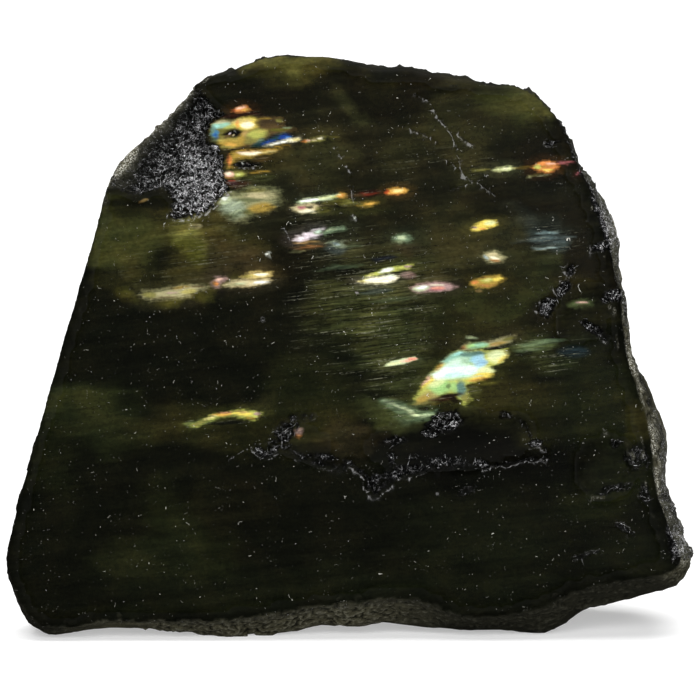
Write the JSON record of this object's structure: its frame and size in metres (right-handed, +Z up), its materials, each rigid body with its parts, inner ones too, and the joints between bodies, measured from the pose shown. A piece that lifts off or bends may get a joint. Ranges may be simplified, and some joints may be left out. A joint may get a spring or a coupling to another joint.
{
  "type": "rough labradorite chunk",
  "caption": "Rough chunk of dark labradorite with one flat cleaved face that flashes colour, broken sides, a terraced broken back and a broad foot on which it stands upright.",
  "frame": {"origin": "middle of the bounding box's underside, on the plane that the stone stands on", "axes": "+Z up; the flat cleaved face looks towards -Y and leans back from it by 8 degrees; +X to the right of someone who looks at that face, along the stone's longest side"},
  "size_m": [0.1002, 0.041, 0.0838],
  "materials": {
    "labradorite": "dark olive, glassy on the cleaved face with streaks of blue, green, gold and orange flash; dull grey and granular where it broke"
  },
  "bodies": {
    "root": {"labradorite_chunk": "labradorite"}
  },
  "joints": []
}
